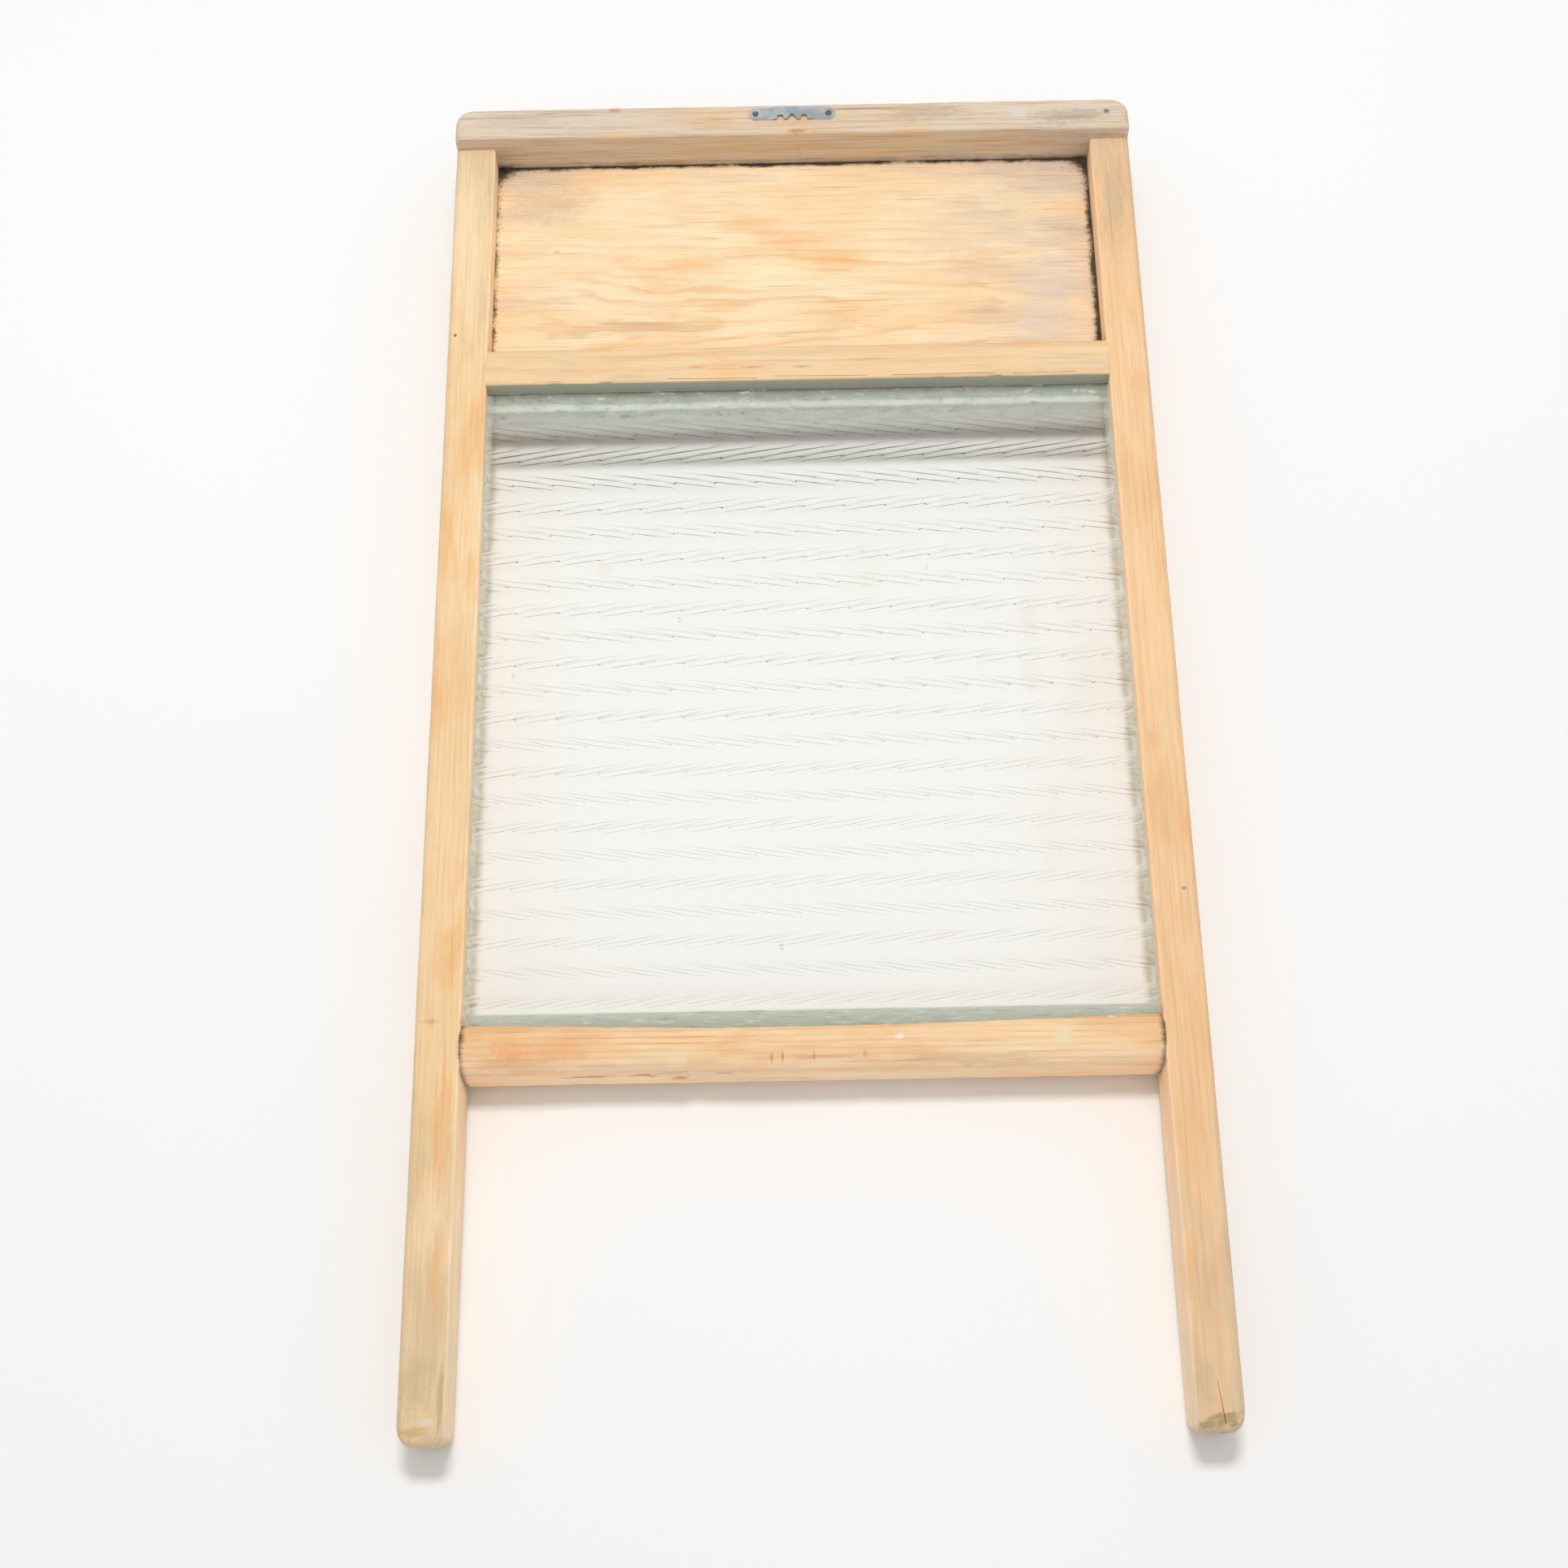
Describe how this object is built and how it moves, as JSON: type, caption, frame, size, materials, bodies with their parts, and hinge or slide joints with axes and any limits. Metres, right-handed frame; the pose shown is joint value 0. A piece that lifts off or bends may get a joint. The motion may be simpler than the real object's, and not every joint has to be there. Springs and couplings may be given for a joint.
{
  "type": "washboard",
  "caption": "Household washboard: a ribbed pressed-glass rubbing plate in a grooved softwood frame with legs, a recessed upper board and a hanger on the back.",
  "frame": {"origin": "under the middle of the board's bounding box, on the plane that the head rail's front face rests on", "axes": "+X across the board, +Y from the feet to the head rail, +Z out of the board's back face"},
  "size_m": [0.314, 0.61, 0.0452],
  "materials": {
    "frame_wood": "worn, bare",
    "board_wood": "worn, bare",
    "glass": "pressed, slightly grey-green",
    "zinc": "dull",
    "steel": "dull"
  },
  "bodies": {
    "root": {"left_stile": "frame_wood", "right_stile": "frame_wood", "head_rail": "frame_wood", "middle_rail": "frame_wood", "bottom_rail": "frame_wood", "back_board": "board_wood", "glass_plate": "glass", "sawtooth_hanger": "zinc", "left_head_rail_nail": "steel", "left_middle_rail_nail": "steel", "left_bottom_rail_nail": "steel", "right_head_rail_nail": "steel", "right_middle_rail_nail": "steel", "right_bottom_rail_nail": "steel", "left_hanger_brad": "steel", "right_hanger_brad": "steel"}
  },
  "joints": []
}
